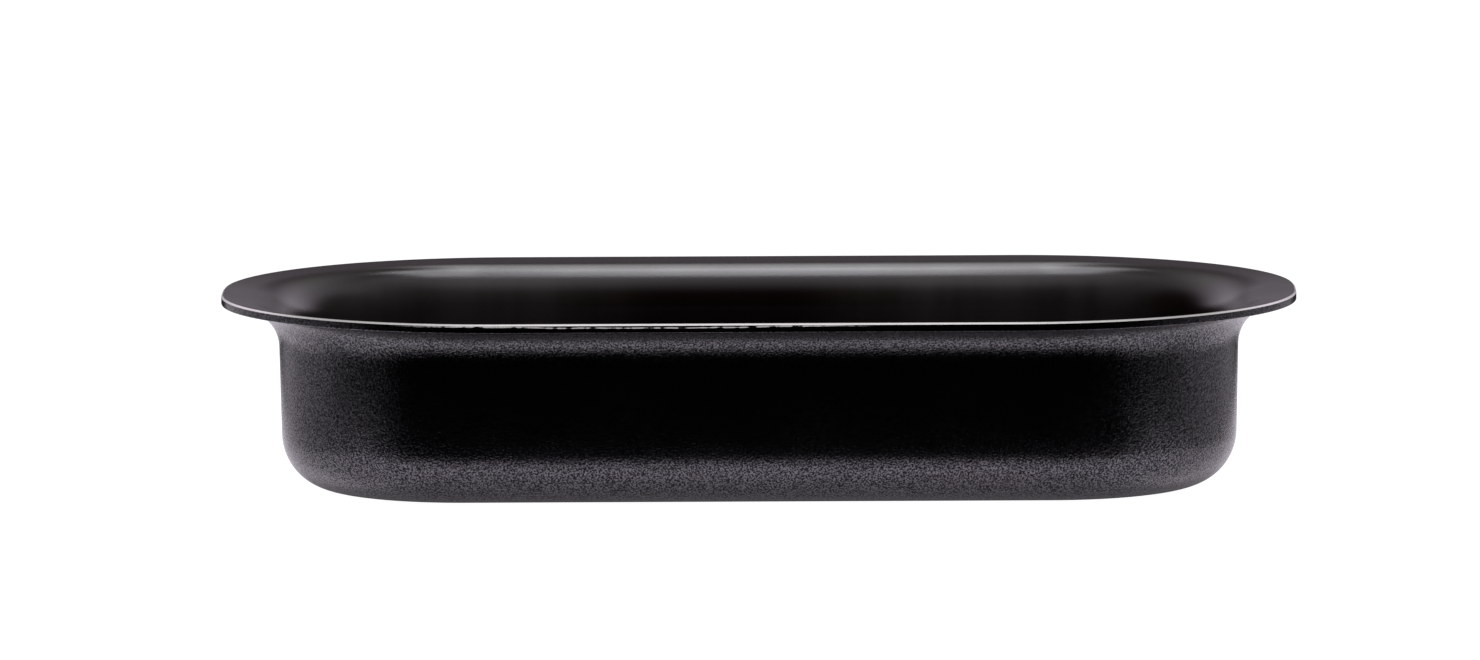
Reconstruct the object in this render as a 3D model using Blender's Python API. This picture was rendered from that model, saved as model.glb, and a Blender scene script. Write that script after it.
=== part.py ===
"""Oblong roasting pan: a one-piece aluminium dish with a wide flared rim, coated inside and outside.

Metres, +Z up. X runs along the pan's length and Y across it. The origin is at the middle of the
base, on the surface that the pan stands on.

The pan is drawn from its outer skin. A station is a point of that skin's section, and each coat's
face is the same skin sunk some depth into the wall, so the layers stay parallel all round.
"""

import math
from collections import namedtuple

import bmesh
import bpy

# Driving dimensions, in metres and degrees
RIM_LENGTH = 0.400
RIM_WIDTH = 0.224
HEIGHT = 0.071
WALL_THICKNESS = 0.0035
RIM_CORNER_RADIUS = 0.1048
FLANGE_WIDTH = 0.0219
FLANGE_RISE_ANGLE = 6.9
FLANGE_BEND_RADIUS = 0.0139
WALL_CORNER_RADIUS = 0.0696
WALL_DRAFT_ANGLE = 1.3
BOTTOM_EDGE_RADIUS = 0.0205
RIM_EDGE_RADIUS = 0.0004
GROUND_EDGE = 0.0008
COAT_THICKNESS = 0.0002
COAT_GAP = 0.0003

# How finely curves are cut into flats
CORNER_STEPS = 13
BOTTOM_STEPS = 7
BEND_STEPS = 6
EDGE_STEPS = 2

# The least that a rounding may shrink to, so that its points stay apart
LEAST_ROUNDING = 0.00005
LEAST_STRAIGHT = 0.0005

COLLECTION_NAME = "oblong_roasting_pan"
SHARP_ANGLE = 30.0

RISE = math.radians(FLANGE_RISE_ANGLE)
DRAFT = math.radians(WALL_DRAFT_ANGLE)
UPWARD = math.pi / 2
METAL_DEPTH = COAT_THICKNESS + COAT_GAP

# inset is measured inwards from the rim's outline, and corner is the outline's corner radius there.
# facing is the angle from level of the direction that points from the skin into the wall.
Station = namedtuple("Station", "inset height corner facing")
Ring = namedtuple("Ring", "inset height corner")


def clear_scene():
    for old in list(bpy.data.objects):
        bpy.data.objects.remove(old, do_unlink=True)


def steps(start, end, count):
    """The values from start to end, both included, in count equal steps."""
    return [start + (end - start) * step / count for step in range(count + 1)]


def corner_radius(inset):
    """The outer skin's corner radius: the rim's, blending over the flange to the wall's."""
    if inset <= 0:
        radius = RIM_CORNER_RADIUS - inset
    elif inset < FLANGE_WIDTH:
        share = inset / FLANGE_WIDTH
        radius = RIM_CORNER_RADIUS + (WALL_CORNER_RADIUS - RIM_CORNER_RADIUS) * share
    else:
        radius = WALL_CORNER_RADIUS - (inset - FLANGE_WIDTH)
    return min(radius, RIM_WIDTH / 2 - inset - LEAST_STRAIGHT)


def rim_top(inset):
    """Height of the flange's top, whose highest point is the inner side of the ground edge."""
    return HEIGHT - (inset - GROUND_EDGE) * math.tan(RISE)


def rim_underside(inset):
    """Height of the flange's underside, which rises outwards to the rim's edge."""
    return rim_top(inset) - WALL_THICKNESS / math.cos(RISE)


def station(inset, height, facing):
    return Station(inset, height, corner_radius(inset), facing)


def bend_stations():
    """The hollow bend under the flange, from the top of the wall outwards."""
    centre = FLANGE_WIDTH - FLANGE_BEND_RADIUS * math.cos(DRAFT)
    middle = rim_underside(centre) - FLANGE_BEND_RADIUS / math.cos(RISE)
    return [
        station(
            centre + FLANGE_BEND_RADIUS * math.cos(facing),
            middle + FLANGE_BEND_RADIUS * math.sin(facing),
            facing,
        )
        for facing in steps(DRAFT, UPWARD - RISE, BEND_STEPS)
    ]


def bottom_stations():
    """The round between base and wall, from the flat base up to the drafted wall."""
    wall_top = bend_stations()[0]
    round_top = BOTTOM_EDGE_RADIUS * (1 - math.sin(DRAFT))
    wall_foot = wall_top.inset + (wall_top.height - round_top) * math.tan(DRAFT)
    centre = wall_foot + BOTTOM_EDGE_RADIUS * math.cos(DRAFT)
    return [
        station(
            centre - BOTTOM_EDGE_RADIUS * math.cos(facing),
            BOTTOM_EDGE_RADIUS * (1 - math.sin(facing)),
            facing,
        )
        for facing in steps(UPWARD, DRAFT, BOTTOM_STEPS)
    ]


def sunk(point, depth):
    """The ring that lies depth inside the outer skin at a station."""
    inwards = depth * math.cos(point.facing)
    return Ring(
        point.inset + inwards,
        point.height + depth * math.sin(point.facing),
        max(point.corner - inwards, LEAST_ROUNDING),
    )


def body_rings(depth):
    """The skin at a depth, from the base up the wall to the start of the flange."""
    return [sunk(point, depth) for point in bottom_stations() + bend_stations()]


def flange_ring(depth, inset):
    """Where the flange's face at a depth reaches an inset from the rim's outline."""
    start = inset - depth * math.sin(RISE)
    return sunk(station(start, rim_underside(start), UPWARD - RISE), depth)


def rim_edge_rings(depth):
    """The rounded lower edge of the rim at a depth, from the flange's underside to the edge's face."""
    radius = max(RIM_EDGE_RADIUS - depth, LEAST_ROUNDING)
    centre = depth + radius
    start = flange_ring(depth, centre - radius * math.sin(RISE))
    middle = start.height + radius * math.cos(RISE)
    return [
        edge_ring(centre - radius * math.cos(facing), middle - radius * math.sin(facing))
        for facing in steps(UPWARD - RISE, 0, EDGE_STEPS)
    ]


def edge_ring(inset, height):
    """A ring on or near the rim's upright edge, parallel to the rim's outline."""
    return Ring(inset, height, corner_radius(0) - inset)


def outline(ring):
    """The points of a rounded rectangle, anticlockwise seen from above."""
    points = []
    reach_x = RIM_LENGTH / 2 - ring.inset - ring.corner
    reach_y = RIM_WIDTH / 2 - ring.inset - ring.corner
    quarters = ((1, 1), (-1, 1), (-1, -1), (1, -1))
    for quarter, (side_x, side_y) in enumerate(quarters):
        start = quarter * UPWARD
        for angle in steps(start, start + UPWARD, CORNER_STEPS):
            points.append(
                (
                    side_x * reach_x + ring.corner * math.cos(angle),
                    side_y * reach_y + ring.corner * math.sin(angle),
                    ring.height,
                )
            )
    return points


def lofted_shell(name, rings, material, collection):
    """A closed solid through rings, from the ring round its under face to the one round its floor."""
    shell = bmesh.new()
    loops = [[shell.verts.new(point) for point in outline(ring)] for ring in rings]
    shell.faces.new(reversed(loops[0]))
    shell.faces.new(loops[-1])
    for lower, upper in zip(loops, loops[1:]):
        for here in range(len(lower)):
            beside = (here + 1) % len(lower)
            shell.faces.new((lower[here], lower[beside], upper[beside], upper[here]))
    bmesh.ops.recalc_face_normals(shell, faces=shell.faces)
    mesh = bpy.data.meshes.new(name)
    shell.to_mesh(mesh)
    shell.free()
    mesh.shade_smooth()
    mesh.set_sharp_from_angle(angle=math.radians(SHARP_ANGLE))
    mesh.materials.append(material)
    part = bpy.data.objects.new(name, mesh)
    collection.objects.link(part)
    return part


def plain_material(name, colour, roughness, metallic):
    material = bpy.data.materials.new(name)
    material.use_nodes = True
    shader = material.node_tree.nodes["Principled BSDF"]
    shader.inputs["Base Color"].default_value = (*colour, 1.0)
    shader.inputs["Roughness"].default_value = roughness
    shader.inputs["Metallic"].default_value = metallic
    material.diffuse_color = (*colour, 1.0)
    return material


def aluminium():
    return plain_material("bare_aluminium", (0.82, 0.79, 0.79), 0.28, 1.0)


def satin_lining():
    return plain_material("satin_nonstick", (0.012, 0.011, 0.012), 0.38, 0.0)


def grained_enamel():
    return plain_material("grained_enamel", (0.010, 0.010, 0.011), 0.55, 0.0)


def outer_enamel(collection):
    """The outer coat, from the base over the wall and the flange's underside to the ground edge."""
    top = HEIGHT - GROUND_EDGE - COAT_GAP
    outside = body_rings(0) + rim_edge_rings(0) + [edge_ring(0, top)]
    inside = body_rings(COAT_THICKNESS) + rim_edge_rings(COAT_THICKNESS)
    inside.append(edge_ring(COAT_THICKNESS, top))
    return lofted_shell("outer_enamel", outside + inside[::-1], grained_enamel(), collection)


def pan_body(collection):
    """The metal, whose bevelled top edge comes out between the two coats."""
    ledge = HEIGHT - GROUND_EDGE
    outside = body_rings(METAL_DEPTH) + rim_edge_rings(METAL_DEPTH)
    bevel = [
        edge_ring(METAL_DEPTH, ledge),
        edge_ring(0, ledge),
        flange_ring(WALL_THICKNESS, GROUND_EDGE),
    ]
    top_depth = WALL_THICKNESS - METAL_DEPTH
    inside = body_rings(top_depth) + [flange_ring(top_depth, GROUND_EDGE)]
    return lofted_shell("pan_body", outside + bevel + inside[::-1], aluminium(), collection)


def nonstick_lining(collection):
    """The inner coat, from the ground edge over the flange's top and the wall to the floor."""
    end = GROUND_EDGE + COAT_GAP
    under_depth = WALL_THICKNESS - COAT_THICKNESS
    under = body_rings(under_depth) + [flange_ring(under_depth, end)]
    top = body_rings(WALL_THICKNESS) + [flange_ring(WALL_THICKNESS, end)]
    return lofted_shell("nonstick_lining", under + top[::-1], satin_lining(), collection)


def build():
    clear_scene()
    collection = bpy.data.collections.new(COLLECTION_NAME)
    bpy.context.scene.collection.children.link(collection)
    for make in (pan_body, nonstick_lining, outer_enamel):
        make(collection)


build()
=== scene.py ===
"""The looks of an oblong roasting pan: a coated aluminium dish on a plain pale floor.

Metres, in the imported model's frame: X along the pan, Y across it, Z up from the base. The camera
looks along +Y from low in front. Each layer of the pan is drawn again here from the same section
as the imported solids, with finer curves and hairline joins instead of their working gaps.
"""

import math
from collections import namedtuple

import bmesh
import bpy
from mathutils import Matrix, Vector


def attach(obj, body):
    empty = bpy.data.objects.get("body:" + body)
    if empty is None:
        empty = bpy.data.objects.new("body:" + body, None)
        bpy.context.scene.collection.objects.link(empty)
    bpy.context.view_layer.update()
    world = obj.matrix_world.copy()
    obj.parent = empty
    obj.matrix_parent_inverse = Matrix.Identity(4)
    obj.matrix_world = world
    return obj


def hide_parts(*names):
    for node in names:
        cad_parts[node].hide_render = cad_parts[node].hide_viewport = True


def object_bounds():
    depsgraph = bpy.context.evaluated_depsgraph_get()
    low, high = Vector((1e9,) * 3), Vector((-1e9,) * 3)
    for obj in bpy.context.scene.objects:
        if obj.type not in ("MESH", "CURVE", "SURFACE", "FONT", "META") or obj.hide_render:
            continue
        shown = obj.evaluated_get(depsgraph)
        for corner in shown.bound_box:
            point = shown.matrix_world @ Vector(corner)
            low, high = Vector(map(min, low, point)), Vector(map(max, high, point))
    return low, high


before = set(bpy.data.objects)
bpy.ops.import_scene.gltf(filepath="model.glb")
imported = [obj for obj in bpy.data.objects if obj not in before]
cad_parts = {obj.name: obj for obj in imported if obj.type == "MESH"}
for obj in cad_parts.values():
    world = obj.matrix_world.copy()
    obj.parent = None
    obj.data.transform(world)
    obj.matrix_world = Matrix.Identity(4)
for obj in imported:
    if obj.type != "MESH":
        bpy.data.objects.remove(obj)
CAD_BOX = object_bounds()
BODY = "root"

# The pan's section, in metres and radians. Its overall size comes from the frame.
RIM_LENGTH = CAD_BOX[1].x - CAD_BOX[0].x
RIM_WIDTH = CAD_BOX[1].y - CAD_BOX[0].y
HEIGHT = CAD_BOX[1].z
WALL_THICKNESS = 0.0035
RIM_CORNER_RADIUS = 0.1048
FLANGE_WIDTH = 0.0219
FLANGE_RISE = math.radians(6.9)
FLANGE_BEND_RADIUS = 0.0139
WALL_CORNER_RADIUS = 0.0696
WALL_DRAFT = math.radians(1.3)
BOTTOM_EDGE_RADIUS = 0.0205
RIM_EDGE_RADIUS = 0.0004
GROUND_EDGE = 0.0008
COAT_THICKNESS = 0.0002
JOIN = 0.00002
LEAST_ROUNDING = 0.00005
LEAST_STRAIGHT = 0.0005

# How finely curves are cut into flats, and how far in from its edge the flat base has rings
CORNER_STEPS = 44
LONG_SIDE_STEPS = 24
SHORT_SIDE_STEPS = 4
BOTTOM_STEPS = 22
BEND_STEPS = 18
WALL_STEPS = 6
FLANGE_STEPS = 5
EDGE_STEPS = 6
FLOOR_INSETS = (0.0015, 0.008, 0.024, 0.044)
SHARP_ANGLE = math.radians(30)

# The camera, far off and just above the rim. PAN_CENTRE_PIXEL is where the photograph has the pan.
CAMERA_DISTANCE = 5.69
CAMERA_ELEVATION = math.radians(6.79)
CAMERA_TURN = math.radians(0.28)
CAMERA_ROLL = math.radians(0.286)
PIXELS_PER_METRE = 2682.0
PICTURE_SIZE = (1480, 660)
PAN_CENTRE_PIXEL = (759.25, 383.45)
SENSOR_WIDTH = 0.036
MILLIMETRES = 1000.0

# Finishes. Grain, marks, clouds and waves are counted in features per metre, and the rest is in
# metres. A pair of places is where a change starts and where it is complete, and a SPAN is the
# part of a noise's range that is spread over the whole change.
CLOUD_SPAN = (0.3, 0.7)
COAT_IOR = 1.53
# The coats' faint blue reflection tint is a painted colour of the overhead light.
COAT_TINT = (0.95, 0.94, 1.0, 1.0)
ALUMINIUM = (0.86, 0.83, 0.83, 1.0)

LINING_DARK = (0.020, 0.009, 0.009, 1.0)
# The lining's lighter colour is a painted reflection, used only in its upright streaks.
LINING_REFLECTION = (0.105, 0.095, 0.092, 1.0)
LINING_ROUGHNESS = (0.19, 0.22)
LINING_GRAIN = 1500.0
LINING_GRAIN_DEPTH = 0.00003
LINING_CLOUD = 40.0
# Where the lining's painted reflection streaks lie on its inner walls, and how strong they are.
REFLECTION_WAVES = 45.0
REFLECTION_SHIFT = 1.3
REFLECTION_SPAN = (0.25, 0.75)
REFLECTION_RANGE = (0.55, 1.0)
REFLECTION_MIDDLE = -0.012
REFLECTION_START = (0.020, 0.075)
REFLECTION_END = (0.135, 0.175)
REFLECTION_FOOT = (0.008, 0.030)
REFLECTION_TOP = (0.062, 0.067)

ENAMEL_DARK = (0.001, 0.001, 0.001, 1.0)
ENAMEL_LIGHT = (0.003, 0.003, 0.003, 1.0)
ENAMEL_ROUGHNESS = 0.17
ENAMEL_UNEVENNESS = 0.03
ENAMEL_CLOUD = 60.0
ENAMEL_GRAIN = 1600.0
ENAMEL_GRAIN_DEPTH = 0.00014
ENAMEL_SHADE_SPAN = (0.35, 0.65)
ENAMEL_GLOSS_SPAN = (0.33, 0.67)
ENAMEL_GLOSS = (0.30, 1.05)
GLOSS_POWER = 2.0
SMOOTH_EDGE = (0.0667, 0.0675)
EDGE_ROUGHNESS = 0.22
EDGE_GRAIN_SHARE = 0.1

GROUND_TOP = (0.07073, 0.07093)
GRINDING_MARKS = 900.0
GRINDING_DEPTH = 0.00002
METAL_ROUGHNESS = (0.24, 0.34)

RUBBED_ROUGHNESS = 0.4
RUBBED_TILT = (0.0, 0.0, 0.9)
WEAR_HEIGHT = 0.06992
WEAR_DEPTH = 0.0005
WEAR_DIP = (-0.10, -0.06)
WEAR_RISE = (-0.03, 0.03)
WEAR_WAVES = 60.0
WEAR_WAVES_SHIFT = 3.1
WEAR_WAVER = 0.00008
WEAR_NOTCHES = 240.0
WEAR_NOTCHES_SHIFT = 7.7
WEAR_NOTCH_SPAN = (0.28, 0.58)
WEAR_REACH = (0.00003, 0.00027)
WEAR_SOFT_EDGE = 0.0001
WEAR_START = (-0.135, -0.11)
WEAR_END = (0.02, 0.045)

# The studio's sheets and lamp, in metres
WHITE = (1.0, 1.0, 1.0, 1.0)
STUDIO_COLOUR = (0.97, 0.90, 1.0, 1.0)
FLOOR_SIZE = 8.0
FLOOR_DROP = 0.0002
FLOOR_COLOUR = (0.20, 0.20, 0.20, 1.0)
FLOOR_WHITE = 0.97
TABLE_SIZE = 1.2
TABLE_LIGHT = 2.05
TABLE_BEHIND = 0.55
TABLE_FADE = (-0.137, -0.032)
TABLE_FRONT = (-0.144, -0.098)
TABLE_BACK = (0.49, 0.59)
TABLE_SIDES = (0.235, 0.270)
CONTACT_SHADE = (-0.005, 0.033)
DARK_STRIP_START = (0.245, 0.270)
DARK_STRIP_END = (0.322, 0.340)
DARK_STRIP_FRONT = (-0.20, -0.18)
DARK_STRIP_BACK = (-0.065, -0.035)
DARK_STRIP_DEPTH = 0.9
SOFTBOX_SIZE = (0.242, 0.465)
SOFTBOX_PLACE = Vector((0.0, 0.305, 0.934))
SOFTBOX_POWER = 1.22

# The studio's far light, by direction. Directions are unit vectors, so their parts run from -1 to
# 1, and angles are in radians. A pair of lights is the left one and the right one.
HORIZON_BLEND = (-0.01, 0.01)
LEFT_TO_RIGHT = (-0.1, 0.1)
TINT_END = (0.40, 0.65)
SIDE_LIGHT = (0.70, 0.51)
SIDE_REACH = (0.384, 0.402)
SIDE_DEPTH = (-0.72, 0.28)
SIDE_HEIGHT = (-0.225, -0.165)
FAR_TABLE_LIGHT = 1.35
FAR_TABLE_HEIGHT = (-0.30, -0.17)
WING_LIGHT = 1.0
WING_START = (0.125, 0.63)
WING_END = (0.73, 0.93)
WING_DEPTH = (-0.925, 1.14)
WING_HEIGHT = (0.0, 2.5)
BACKDROP_LIGHT = 0.15
BACKDROP_DEPTH = (0.2, 0.8)
HORIZON_LIGHT = (0.12, 0.10)
HORIZON_HEIGHT = (0.12, 0.30)
STRIP_LIGHT = 4.8
STRIP_WIDTH = 0.104
STRIP_MIDDLE = math.radians(119)
STRIP_REACH = math.radians(31)
TOP_LIGHT = 5.70
TOP_HEIGHT = (0.661, 2.0)
TOP_DEPTH = (0.1, 0.3)

UPWARD = math.pi / 2
METAL_DEPTH = COAT_THICKNESS + JOIN

# inset is measured inwards from the rim's outline, and corner is the outline's corner radius there.
# facing is the angle from level of the direction that points from the skin into the wall.
Station = namedtuple("Station", "inset height corner facing")
Ring = namedtuple("Ring", "inset height corner")


def steps(start, end, count):
    """The values from start to end, both included, in count equal steps."""
    return [start + (end - start) * step / count for step in range(count + 1)]


def corner_radius(inset):
    """The outer skin's corner radius: the rim's, blending over the flange to the wall's."""
    if inset <= 0:
        radius = RIM_CORNER_RADIUS - inset
    elif inset < FLANGE_WIDTH:
        share = inset / FLANGE_WIDTH
        radius = RIM_CORNER_RADIUS + (WALL_CORNER_RADIUS - RIM_CORNER_RADIUS) * share
    else:
        radius = WALL_CORNER_RADIUS - (inset - FLANGE_WIDTH)
    return min(radius, RIM_WIDTH / 2 - inset - LEAST_STRAIGHT)


def rim_top(inset):
    """Height of the flange's top, whose highest point is the inner side of the ground edge."""
    return HEIGHT - (inset - GROUND_EDGE) * math.tan(FLANGE_RISE)


def rim_underside(inset):
    """Height of the flange's underside, which rises outwards to the rim's edge."""
    return rim_top(inset) - WALL_THICKNESS / math.cos(FLANGE_RISE)


def station(inset, height, facing):
    return Station(inset, height, corner_radius(inset), facing)


def bend_stations():
    """The hollow bend under the flange, from the top of the wall outwards."""
    centre = FLANGE_WIDTH - FLANGE_BEND_RADIUS * math.cos(WALL_DRAFT)
    middle = rim_underside(centre) - FLANGE_BEND_RADIUS / math.cos(FLANGE_RISE)
    return [
        station(
            centre + FLANGE_BEND_RADIUS * math.cos(facing),
            middle + FLANGE_BEND_RADIUS * math.sin(facing),
            facing,
        )
        for facing in steps(WALL_DRAFT, UPWARD - FLANGE_RISE, BEND_STEPS)
    ]


def bottom_stations(wall_top):
    """The round between base and wall, from the flat base up to the drafted wall."""
    round_top = BOTTOM_EDGE_RADIUS * (1 - math.sin(WALL_DRAFT))
    wall_foot = wall_top.inset + (wall_top.height - round_top) * math.tan(WALL_DRAFT)
    centre = wall_foot + BOTTOM_EDGE_RADIUS * math.cos(WALL_DRAFT)
    return [
        station(
            centre - BOTTOM_EDGE_RADIUS * math.cos(facing),
            BOTTOM_EDGE_RADIUS * (1 - math.sin(facing)),
            facing,
        )
        for facing in steps(UPWARD, WALL_DRAFT, BOTTOM_STEPS)
    ]


def wall_stations(foot, top):
    """The drafted wall between its foot and its top, neither of them included."""
    insets = steps(foot.inset, top.inset, WALL_STEPS)
    heights = steps(foot.height, top.height, WALL_STEPS)
    return [station(inset, height, WALL_DRAFT) for inset, height in zip(insets, heights)][1:-1]


BEND = bend_stations()
BOTTOM = bottom_stations(BEND[0])
BASE_EDGE = BOTTOM[0]
BASE = [station(BASE_EDGE.inset + inset, 0, UPWARD) for inset in reversed(FLOOR_INSETS)]
SKIN = BASE + BOTTOM + wall_stations(BOTTOM[-1], BEND[0]) + BEND


def sunk(point, depth):
    """The ring that lies depth inside the outer skin at a station."""
    inwards = depth * math.cos(point.facing)
    return Ring(
        point.inset + inwards,
        point.height + depth * math.sin(point.facing),
        max(point.corner - inwards, LEAST_ROUNDING),
    )


def flange_ring(depth, inset):
    """Where the flange's face at a depth reaches an inset from the rim's outline."""
    start = inset - depth * math.sin(FLANGE_RISE)
    return sunk(station(start, rim_underside(start), UPWARD - FLANGE_RISE), depth)


def body_rings(depth, flange_end):
    """The skin at a depth, from the base up the wall and out along the flange to flange_end."""
    rings = [sunk(point, depth) for point in SKIN]
    outwards = steps(rings[-1].inset, flange_end, FLANGE_STEPS)[1:]
    return rings + [flange_ring(depth, inset) for inset in outwards]


def edge_ring(inset, height):
    """A ring on or near the rim's upright edge, parallel to the rim's outline."""
    return Ring(inset, height, corner_radius(0) - inset)


def rim_edge_rings(depth):
    """The rim's rounded lower edge at a depth, from the flange's underside to the edge's face."""
    radius = max(RIM_EDGE_RADIUS - depth, LEAST_ROUNDING)
    centre = depth + radius
    start = flange_ring(depth, centre - radius * math.sin(FLANGE_RISE))
    middle = start.height + radius * math.cos(FLANGE_RISE)
    return [
        edge_ring(centre - radius * math.cos(facing), middle - radius * math.sin(facing))
        for facing in steps(UPWARD - FLANGE_RISE, 0, EDGE_STEPS)
    ]


def outer_rings(depth, top):
    """The outer skin at a depth, base, wall, flange and rim edge, ending at the height top."""
    edge = rim_edge_rings(depth)
    return body_rings(depth, edge[0].inset)[:-1] + edge + [edge_ring(depth, top)]


def outline(ring):
    """The points of a rounded rectangle, anticlockwise seen from above."""
    reach_x = RIM_LENGTH / 2 - ring.inset - ring.corner
    reach_y = RIM_WIDTH / 2 - ring.inset - ring.corner
    quarters = ((1, 1), (-1, 1), (-1, -1), (1, -1))
    centres = [Vector((side_x * reach_x, side_y * reach_y)) for side_x, side_y in quarters]
    points = []
    for quarter, centre in enumerate(centres):
        start = quarter * UPWARD
        end = start + UPWARD
        for angle in steps(start, end, CORNER_STEPS):
            points.append(centre + ring.corner * Vector((math.cos(angle), math.sin(angle))))
        run = SHORT_SIDE_STEPS if quarter % 2 else LONG_SIDE_STEPS
        next_centre = centres[(quarter + 1) % len(centres)]
        ahead = next_centre + ring.corner * Vector((math.cos(end), math.sin(end)))
        points += [points[-1].lerp(ahead, share) for share in steps(0, 1, run)[1:-1]]
    return [(point.x, point.y, ring.height) for point in points]


def new_object(name, data):
    """An object of the scene that shows a mesh, a lamp or a camera."""
    made = bpy.data.objects.new(name, data)
    bpy.context.scene.collection.objects.link(made)
    return made


def new_mesh(name, shape, material):
    """A mesh from a bmesh, which it frees."""
    mesh = bpy.data.meshes.new(name)
    shape.to_mesh(mesh)
    shape.free()
    mesh.materials.append(material)
    return mesh


def lofted_shell(name, rings, material, node):
    """A closed shell through rings, from the one round its base to the one round its floor."""
    shell = bmesh.new()
    loops = [[shell.verts.new(point) for point in outline(ring)] for ring in rings]
    shell.faces.new(reversed(loops[0]))
    shell.faces.new(loops[-1])
    for lower, upper in zip(loops, loops[1:]):
        for here in range(len(lower)):
            beside = (here + 1) % len(lower)
            shell.faces.new((lower[here], lower[beside], upper[beside], upper[here]))
    bmesh.ops.recalc_face_normals(shell, faces=shell.faces)
    mesh = new_mesh(name, shell, material)
    mesh.shade_smooth()
    mesh.set_sharp_from_angle(angle=SHARP_ANGLE)
    piece = new_object(name, mesh)
    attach(piece, BODY)
    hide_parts(node)


class Nodes:
    """Short forms for building one node tree."""

    def __init__(self, tree):
        self.tree = tree

    def fill(self, node, inputs):
        """Set a node's inputs, each to a value or to the output of another node."""
        for socket, value in dict(inputs).items():
            if isinstance(value, bpy.types.NodeSocket):
                self.tree.links.new(value, node.inputs[socket])
            else:
                node.inputs[socket].default_value = value

    def add(self, kind, inputs=(), **settings):
        """The outputs of a new node with these inputs and settings."""
        node = self.tree.nodes.new(kind)
        for name, value in settings.items():
            setattr(node, name, value)
        self.fill(node, inputs)
        return node.outputs

    def coordinates(self, kind):
        """Coordinates of one kind, whole and then as X, Y and Z."""
        whole = self.add("ShaderNodeTexCoord")[kind]
        axes = self.add("ShaderNodeSeparateXYZ", {"Vector": whole})
        return whole, axes["X"], axes["Y"], axes["Z"]

    def math(self, operation, *values):
        return self.add("ShaderNodeMath", enumerate(values), operation=operation)[0]

    def vector_math(self, operation, *values):
        """A vector, or for LENGTH a number."""
        made = self.add("ShaderNodeVectorMath", enumerate(values), operation=operation)
        return made["Value" if operation == "LENGTH" else "Vector"]

    def product(self, value, *others):
        for other in others:
            value = self.math("MULTIPLY", value, other)
        return value

    def total(self, value, *others):
        for other in others:
            value = self.math("ADD", value, other)
        return value

    def rest(self, share):
        """What a share leaves of 1."""
        return self.math("SUBTRACT", 1.0, share)

    def distance(self, value, other):
        return self.math("ABSOLUTE", self.math("SUBTRACT", value, other))

    def ramp(self, value, low, high, from_value=0.0, to_value=1.0):
        """from_value at low, to_value at high, and a smooth rise between."""
        inputs = {"Value": value, "From Min": low, "From Max": high}
        inputs.update({"To Min": from_value, "To Max": to_value})
        return self.add("ShaderNodeMapRange", inputs, interpolation_type="SMOOTHSTEP")["Result"]

    def window(self, value, rise, fall):
        """1 between a smooth rise and a smooth fall, and 0 outside them."""
        return self.product(self.ramp(value, *rise), self.ramp(value, *fall, 1.0, 0.0))

    def noise(self, place, scale, detail):
        """Noise of about 0 to 1, with scale features in a metre."""
        inputs = {"Vector": place, "Scale": scale, "Detail": detail}
        return self.add("ShaderNodeTexNoise", inputs)["Fac"]

    def line_noise(self, along, scale, shift, detail=2.0):
        """Noise along one coordinate."""
        inputs = {"W": self.math("ADD", along, shift), "Scale": scale, "Detail": detail}
        return self.add("ShaderNodeTexNoise", inputs, noise_dimensions="1D")["Fac"]

    def colour(self, share, first, second):
        """A mix of two colours. The Mix node keeps them in its inputs 6 and 7, and output 2."""
        inputs = {0: share, 6: first, 7: second}
        return self.add("ShaderNodeMix", inputs, data_type="RGBA")[2]

    def bump(self, height, depth, strength=1.0):
        """The normals of a surface that a height from 0 to 1 raises by up to depth."""
        inputs = {"Strength": strength, "Distance": depth, "Height": height}
        return self.add("ShaderNodeBump", inputs)["Normal"]

    def mixed_shader(self, share, first, second):
        return self.add("ShaderNodeMixShader", {0: share, 1: first, 2: second})[0]

    def emission(self, **inputs):
        return self.add("ShaderNodeEmission", inputs)[0]


def new_material(name):
    """A material with Blender's own Principled shader."""
    material = bpy.data.materials.new(name)
    material.use_nodes = True
    tree = material.node_tree
    return material, Nodes(tree), tree.nodes["Principled BSDF"]


def bare_nodes(owner):
    """The emptied node tree of a material or a world."""
    owner.use_nodes = True
    owner.node_tree.nodes.clear()
    return Nodes(owner.node_tree)


def satin_nonstick():
    """The lining: smooth satin black with a brown cast, an even grain and faint upright streaks of
    painted reflection.
    """
    material, nodes, shader = new_material("satin_nonstick")
    place, x, _, z = nodes.coordinates("Object")
    grain = nodes.noise(place, LINING_GRAIN, detail=2.0)
    cloud = nodes.noise(place, LINING_CLOUD, detail=3.0)
    waves = nodes.line_noise(x, REFLECTION_WAVES, REFLECTION_SHIFT)
    # Painted reflection: lighter upright streaks on the inner walls, either side of the middle,
    # stand in for the studio's side lights.
    shade = nodes.product(
        nodes.ramp(waves, *REFLECTION_SPAN, *REFLECTION_RANGE),
        nodes.window(nodes.distance(x, REFLECTION_MIDDLE), REFLECTION_START, REFLECTION_END),
        nodes.window(z, REFLECTION_FOOT, REFLECTION_TOP),
    )
    look = {
        "Base Color": nodes.colour(shade, LINING_DARK, LINING_REFLECTION),
        "Roughness": nodes.ramp(cloud, *CLOUD_SPAN, *LINING_ROUGHNESS),
        "IOR": COAT_IOR,
        "Specular Tint": COAT_TINT,
        "Normal": nodes.bump(grain, LINING_GRAIN_DEPTH),
    }
    nodes.fill(shader, look)
    return material


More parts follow.
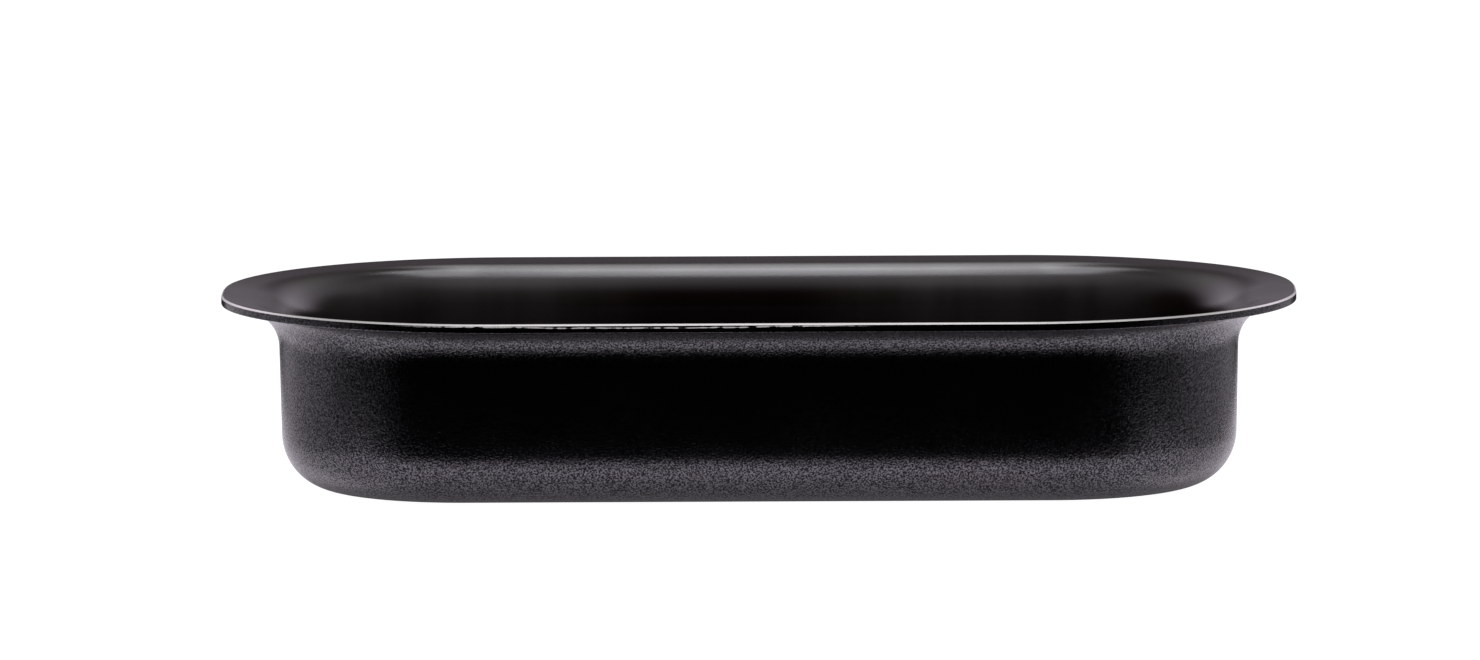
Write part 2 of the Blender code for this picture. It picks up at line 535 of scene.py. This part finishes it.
def edge_wear(nodes, x, y, z):
    """Where the rim's front edge is rubbed through to the metal: a streak under the ground edge."""
    dip = nodes.ramp(x, *WEAR_DIP, 0.0, WEAR_DEPTH)
    back_up = nodes.ramp(x, *WEAR_RISE, 0.0, WEAR_DEPTH)
    waves = nodes.line_noise(x, WEAR_WAVES, WEAR_WAVES_SHIFT)
    waver = nodes.ramp(waves, *CLOUD_SPAN, -WEAR_WAVER, WEAR_WAVER)
    middle = nodes.total(nodes.math("SUBTRACT", back_up, dip), waver, WEAR_HEIGHT)
    notches = nodes.line_noise(x, WEAR_NOTCHES, WEAR_NOTCHES_SHIFT, detail=3.0)
    reach = nodes.ramp(notches, *WEAR_NOTCH_SPAN, *WEAR_REACH)
    within = nodes.math("SUBTRACT", reach, nodes.distance(z, middle))
    streak = nodes.ramp(within, 0.0, WEAR_SOFT_EDGE)
    front = nodes.math("LESS_THAN", y, 0.0)
    return nodes.product(streak, nodes.window(x, WEAR_START, WEAR_END), front)


def rubbed_metal(nodes):
    """Bare metal rounded by wear, so that it shines as if its face leant upwards."""
    normal = nodes.add("ShaderNodeNewGeometry")["Normal"]
    leaning = nodes.vector_math("NORMALIZE", nodes.vector_math("ADD", normal, RUBBED_TILT))
    look = {
        "Base Color": ALUMINIUM,
        "Metallic": 1.0,
        "Roughness": RUBBED_ROUGHNESS,
        "Normal": leaning,
    }
    return nodes.add("ShaderNodeBsdfPrincipled", look)[0]


def grained_enamel():
    """The outer coat: black, with a sand-like grain, but smooth and rubbed on the rim's edge."""
    material, nodes, shader = new_material("grained_enamel")
    place, x, y, z = nodes.coordinates("Object")
    grain = nodes.noise(place, ENAMEL_GRAIN, detail=1.0)
    cloud = nodes.noise(place, ENAMEL_CLOUD, detail=3.0)
    shade = nodes.ramp(grain, *ENAMEL_SHADE_SPAN)
    gloss = nodes.ramp(grain, *ENAMEL_GLOSS_SPAN, *ENAMEL_GLOSS)
    rough = nodes.ramp(z, *SMOOTH_EDGE, ENAMEL_ROUGHNESS, EDGE_ROUGHNESS)
    uneven = nodes.ramp(cloud, *CLOUD_SPAN, -ENAMEL_UNEVENNESS, ENAMEL_UNEVENNESS)
    grained = nodes.ramp(z, *SMOOTH_EDGE, 1.0, EDGE_GRAIN_SHARE)
    look = {
        "Base Color": nodes.colour(shade, ENAMEL_DARK, ENAMEL_LIGHT),
        "Roughness": nodes.total(rough, uneven),
        "IOR": COAT_IOR,
        "Specular IOR Level": nodes.math("POWER", gloss, GLOSS_POWER),
        "Specular Tint": COAT_TINT,
        "Normal": nodes.bump(grain, ENAMEL_GRAIN_DEPTH, grained),
    }
    nodes.fill(shader, look)
    surface = nodes.mixed_shader(edge_wear(nodes, x, y, z), shader.outputs[0], rubbed_metal(nodes))
    nodes.fill(material.node_tree.nodes["Material Output"], {"Surface": surface})
    return material


def ground_aluminium():
    """The bare metal of the ground edge, with fine grinding marks, darkened to the lining's colour
    at its top corner.
    """
    material, nodes, shader = new_material("ground_aluminium")
    place, _, _, z = nodes.coordinates("Object")
    marks = nodes.noise(place, GRINDING_MARKS, detail=3.0)
    look = {
        "Base Color": nodes.colour(nodes.ramp(z, *GROUND_TOP), ALUMINIUM, LINING_DARK),
        "Metallic": 1.0,
        "Roughness": nodes.ramp(marks, *CLOUD_SPAN, *METAL_ROUGHNESS),
        "Normal": nodes.bump(marks, GRINDING_DEPTH),
    }
    nodes.fill(shader, look)
    return material


def pan_pieces():
    """The metal and its two coats."""
    ledge = HEIGHT - GROUND_EDGE
    enamel = outer_rings(0, ledge - JOIN) + outer_rings(COAT_THICKNESS, ledge - JOIN)[::-1]
    lofted_shell("enamel_coat", enamel, grained_enamel(), "outer_enamel")
    lining_end = GROUND_EDGE + JOIN
    under = body_rings(WALL_THICKNESS - COAT_THICKNESS, lining_end)
    top = body_rings(WALL_THICKNESS, lining_end)
    lofted_shell("lining_coat", under + top[::-1], satin_nonstick(), "nonstick_lining")
    bevel = [edge_ring(0, ledge), flange_ring(WALL_THICKNESS, GROUND_EDGE)]
    inner = body_rings(WALL_THICKNESS - METAL_DEPTH, GROUND_EDGE)
    metal = outer_rings(METAL_DEPTH, ledge) + bevel + inner[::-1]
    lofted_shell("metal_dish", metal, ground_aluminium(), "pan_body")


def stage_sheet(name, size, height, material):
    """A square sheet of the studio, level and centred on the pan, that casts no shadow."""
    half = size / 2
    corners = ((-half, -half), (half, -half), (half, half), (-half, half))
    shape = bmesh.new()
    shape.faces.new([shape.verts.new((x, y, 0)) for x, y in corners])
    sheet = new_object(name, new_mesh(name, shape, material))
    sheet.location.z = height
    sheet.visible_shadow = False
    return sheet


def pale_floor():
    """A floor that the camera sees white, with the pan's shadow, and from beneath not at all."""
    material = bpy.data.materials.new("pale_floor")
    nodes = bare_nodes(material)
    seen = nodes.add("ShaderNodeLightPath")["Is Camera Ray"]
    matt = nodes.add("ShaderNodeBsdfDiffuse", {"Color": FLOOR_COLOUR})[0]
    white = nodes.emission(Strength=nodes.product(seen, FLOOR_WHITE))
    top = nodes.add("ShaderNodeAddShader", {0: matt, 1: white})[0]
    clear = nodes.add("ShaderNodeBsdfTransparent")[0]
    beneath = nodes.add("ShaderNodeNewGeometry")["Backfacing"]
    surface = nodes.mixed_shader(beneath, top, clear)
    nodes.add("ShaderNodeOutputMaterial", {"Surface": surface})
    floor = stage_sheet("floor", FLOOR_SIZE, -FLOOR_DROP, material)
    floor.visible_glossy = False


def past_base(nodes, place):
    """How far a place on the table lies outside the pan's flat base, less than 0 under it."""
    core = [size / 2 - BASE_EDGE.inset - BASE_EDGE.corner for size in (RIM_LENGTH, RIM_WIDTH)]
    away = nodes.vector_math("SUBTRACT", nodes.vector_math("ABSOLUTE", place), (*core, 0))
    away = nodes.vector_math("MAXIMUM", away, (0, 0, 0))
    return nodes.math("SUBTRACT", nodes.vector_math("LENGTH", away), BASE_EDGE.corner)


def lit_table():
    """The table's glow as the pan reflects it, dark under the pan and at the table's front corners.

    It ends at the table's front, back and sides, and past them the far light shows. The camera sees
    none of it.
    """
    material = bpy.data.materials.new("lit_table")
    nodes = bare_nodes(material)
    place, x, y, _ = nodes.coordinates("Object")
    aside = nodes.math("ABSOLUTE", x)
    lit = nodes.product(
        nodes.ramp(past_base(nodes, place), *CONTACT_SHADE),
        nodes.ramp(aside, *TABLE_SIDES, 1.0, 0.0),
        nodes.window(y, TABLE_FRONT, TABLE_BACK),
    )
    dark = nodes.product(
        nodes.window(aside, DARK_STRIP_START, DARK_STRIP_END),
        nodes.window(y, DARK_STRIP_FRONT, DARK_STRIP_BACK),
        DARK_STRIP_DEPTH,
    )
    fade = nodes.ramp(y, *TABLE_FADE, 1.0, TABLE_BEHIND)
    strength = nodes.product(fade, nodes.rest(dark), TABLE_LIGHT)
    glow = nodes.emission(Color=STUDIO_COLOUR, Strength=strength)
    clear = nodes.add("ShaderNodeBsdfTransparent")[0]
    surface = nodes.mixed_shader(nodes.math("MAXIMUM", lit, dark), clear, glow)
    nodes.add("ShaderNodeOutputMaterial", {"Surface": surface})
    table = stage_sheet("table", TABLE_SIZE, -FLOOR_DROP / 2, material)
    table.visible_camera = False


def light_below(nodes, x, y, z):
    """A pale panel at each side, under the horizon, and the far table below them."""
    panels = nodes.product(
        nodes.ramp(z, *SIDE_HEIGHT),
        nodes.ramp(x, *LEFT_TO_RIGHT, *SIDE_LIGHT),
    )
    far_table = nodes.ramp(z, *FAR_TABLE_HEIGHT, FAR_TABLE_LIGHT, 0.0)
    return nodes.product(
        nodes.ramp(nodes.math("ABSOLUTE", x), *SIDE_REACH),
        nodes.ramp(y, *SIDE_DEPTH),
        nodes.total(panels, far_table),
    )


def light_above(nodes, x, y, z):
    """A tall pale wing at each side and a dim backdrop, a little lighter near the horizon."""
    wings = nodes.product(
        nodes.window(nodes.math("ABSOLUTE", x), WING_START, WING_END),
        nodes.ramp(y, *WING_DEPTH, 0.0, WING_LIGHT),
        nodes.ramp(z, *WING_HEIGHT, 1.0, 0.0),
    )
    low = nodes.product(
        nodes.ramp(z, *HORIZON_HEIGHT, 1.0, 0.0),
        nodes.ramp(x, *LEFT_TO_RIGHT, *HORIZON_LIGHT),
    )
    backdrop = nodes.product(nodes.ramp(y, *BACKDROP_DEPTH), nodes.total(low, BACKDROP_LIGHT))
    return nodes.total(wings, backdrop)


def light_overhead(nodes, x, y, z):
    """A narrow strip over the pan's middle that leans to the back, and a soft light at the top."""
    turn = nodes.math("ARCTAN2", z, nodes.product(y, -1.0))
    strip = nodes.product(
        nodes.ramp(nodes.math("ABSOLUTE", x), 0.0, STRIP_WIDTH, STRIP_LIGHT, 0.0),
        nodes.ramp(nodes.distance(turn, STRIP_MIDDLE), 0.0, STRIP_REACH, 1.0, 0.0),
    )
    top = nodes.product(
        nodes.ramp(z, *TOP_HEIGHT, 0.0, TOP_LIGHT),
        nodes.ramp(y, *TOP_DEPTH, 1.0, 0.0),
    )
    return nodes.total(strip, top)


def studio_world():
    """White to the camera. To the pan, pale sides, a soft light overhead and a dim backdrop."""
    world = bpy.data.worlds.new("studio")
    bpy.context.scene.world = world
    nodes = bare_nodes(world)
    _, x, y, z = nodes.coordinates("Generated")
    above = nodes.ramp(z, *HORIZON_BLEND)
    strength = nodes.total(
        nodes.product(light_below(nodes, x, y, z), nodes.rest(above)),
        nodes.product(light_above(nodes, x, y, z), above),
        light_overhead(nodes, x, y, z),
    )
    seen = nodes.add("ShaderNodeLightPath")["Is Camera Ray"]
    untinted = nodes.math("MAXIMUM", seen, nodes.ramp(z, *TINT_END))
    light = {
        "Color": nodes.colour(untinted, STUDIO_COLOUR, WHITE),
        "Strength": nodes.total(nodes.product(strength, nodes.rest(seen)), seen),
    }
    background = nodes.add("ShaderNodeBackground", light)[0]
    nodes.add("ShaderNodeOutputWorld", {"Surface": background})


def softbox():
    """The main light, overhead and a little behind the pan."""
    lamp = bpy.data.lights.new("softbox", "AREA")
    lamp.shape = "RECTANGLE"
    lamp.size, lamp.size_y = SOFTBOX_SIZE
    lamp.energy = SOFTBOX_POWER
    light = new_object("softbox", lamp)
    light.location = SOFTBOX_PLACE
    light.rotation_euler = SOFTBOX_PLACE.to_track_quat("Z", "Y").to_euler()
    light.visible_camera = False


def far_camera():
    """A long lens, aimed so that the pan's centre falls where the photograph has it."""
    turn, rise = CAMERA_TURN, CAMERA_ELEVATION
    back = Vector(
        (math.sin(turn) * math.cos(rise), -math.cos(turn) * math.cos(rise), math.sin(rise))
    )
    level = Vector((math.cos(turn), math.sin(turn), 0))
    upright = back.cross(level)
    right = level * math.cos(CAMERA_ROLL) - upright * math.sin(CAMERA_ROLL)
    up = level * math.sin(CAMERA_ROLL) + upright * math.cos(CAMERA_ROLL)
    centre = Vector((0, 0, HEIGHT / 2))
    place = centre + back * CAMERA_DISTANCE
    sideways = (PICTURE_SIZE[0] / 2 - PAN_CENTRE_PIXEL[0]) / PIXELS_PER_METRE
    upwards = (PAN_CENTRE_PIXEL[1] - PICTURE_SIZE[1] / 2) / PIXELS_PER_METRE
    backward = (place - (centre + right * sideways + up * upwards)).normalized()
    right = (right - backward * right.dot(backward)).normalized()
    axes = Matrix((right, backward.cross(right), backward)).transposed()
    lens = bpy.data.cameras.new("camera")
    lens.sensor_width = SENSOR_WIDTH * MILLIMETRES
    focal_length = PIXELS_PER_METRE * CAMERA_DISTANCE / PICTURE_SIZE[0] * SENSOR_WIDTH
    lens.lens = focal_length * MILLIMETRES
    camera = new_object("camera", lens)
    camera.matrix_world = Matrix.Translation(place) @ axes.to_4x4()
    bpy.context.scene.camera = camera


pan_pieces()
pale_floor()
lit_table()
studio_world()
softbox()
far_camera()
bpy.context.scene.view_settings.view_transform = "Standard"
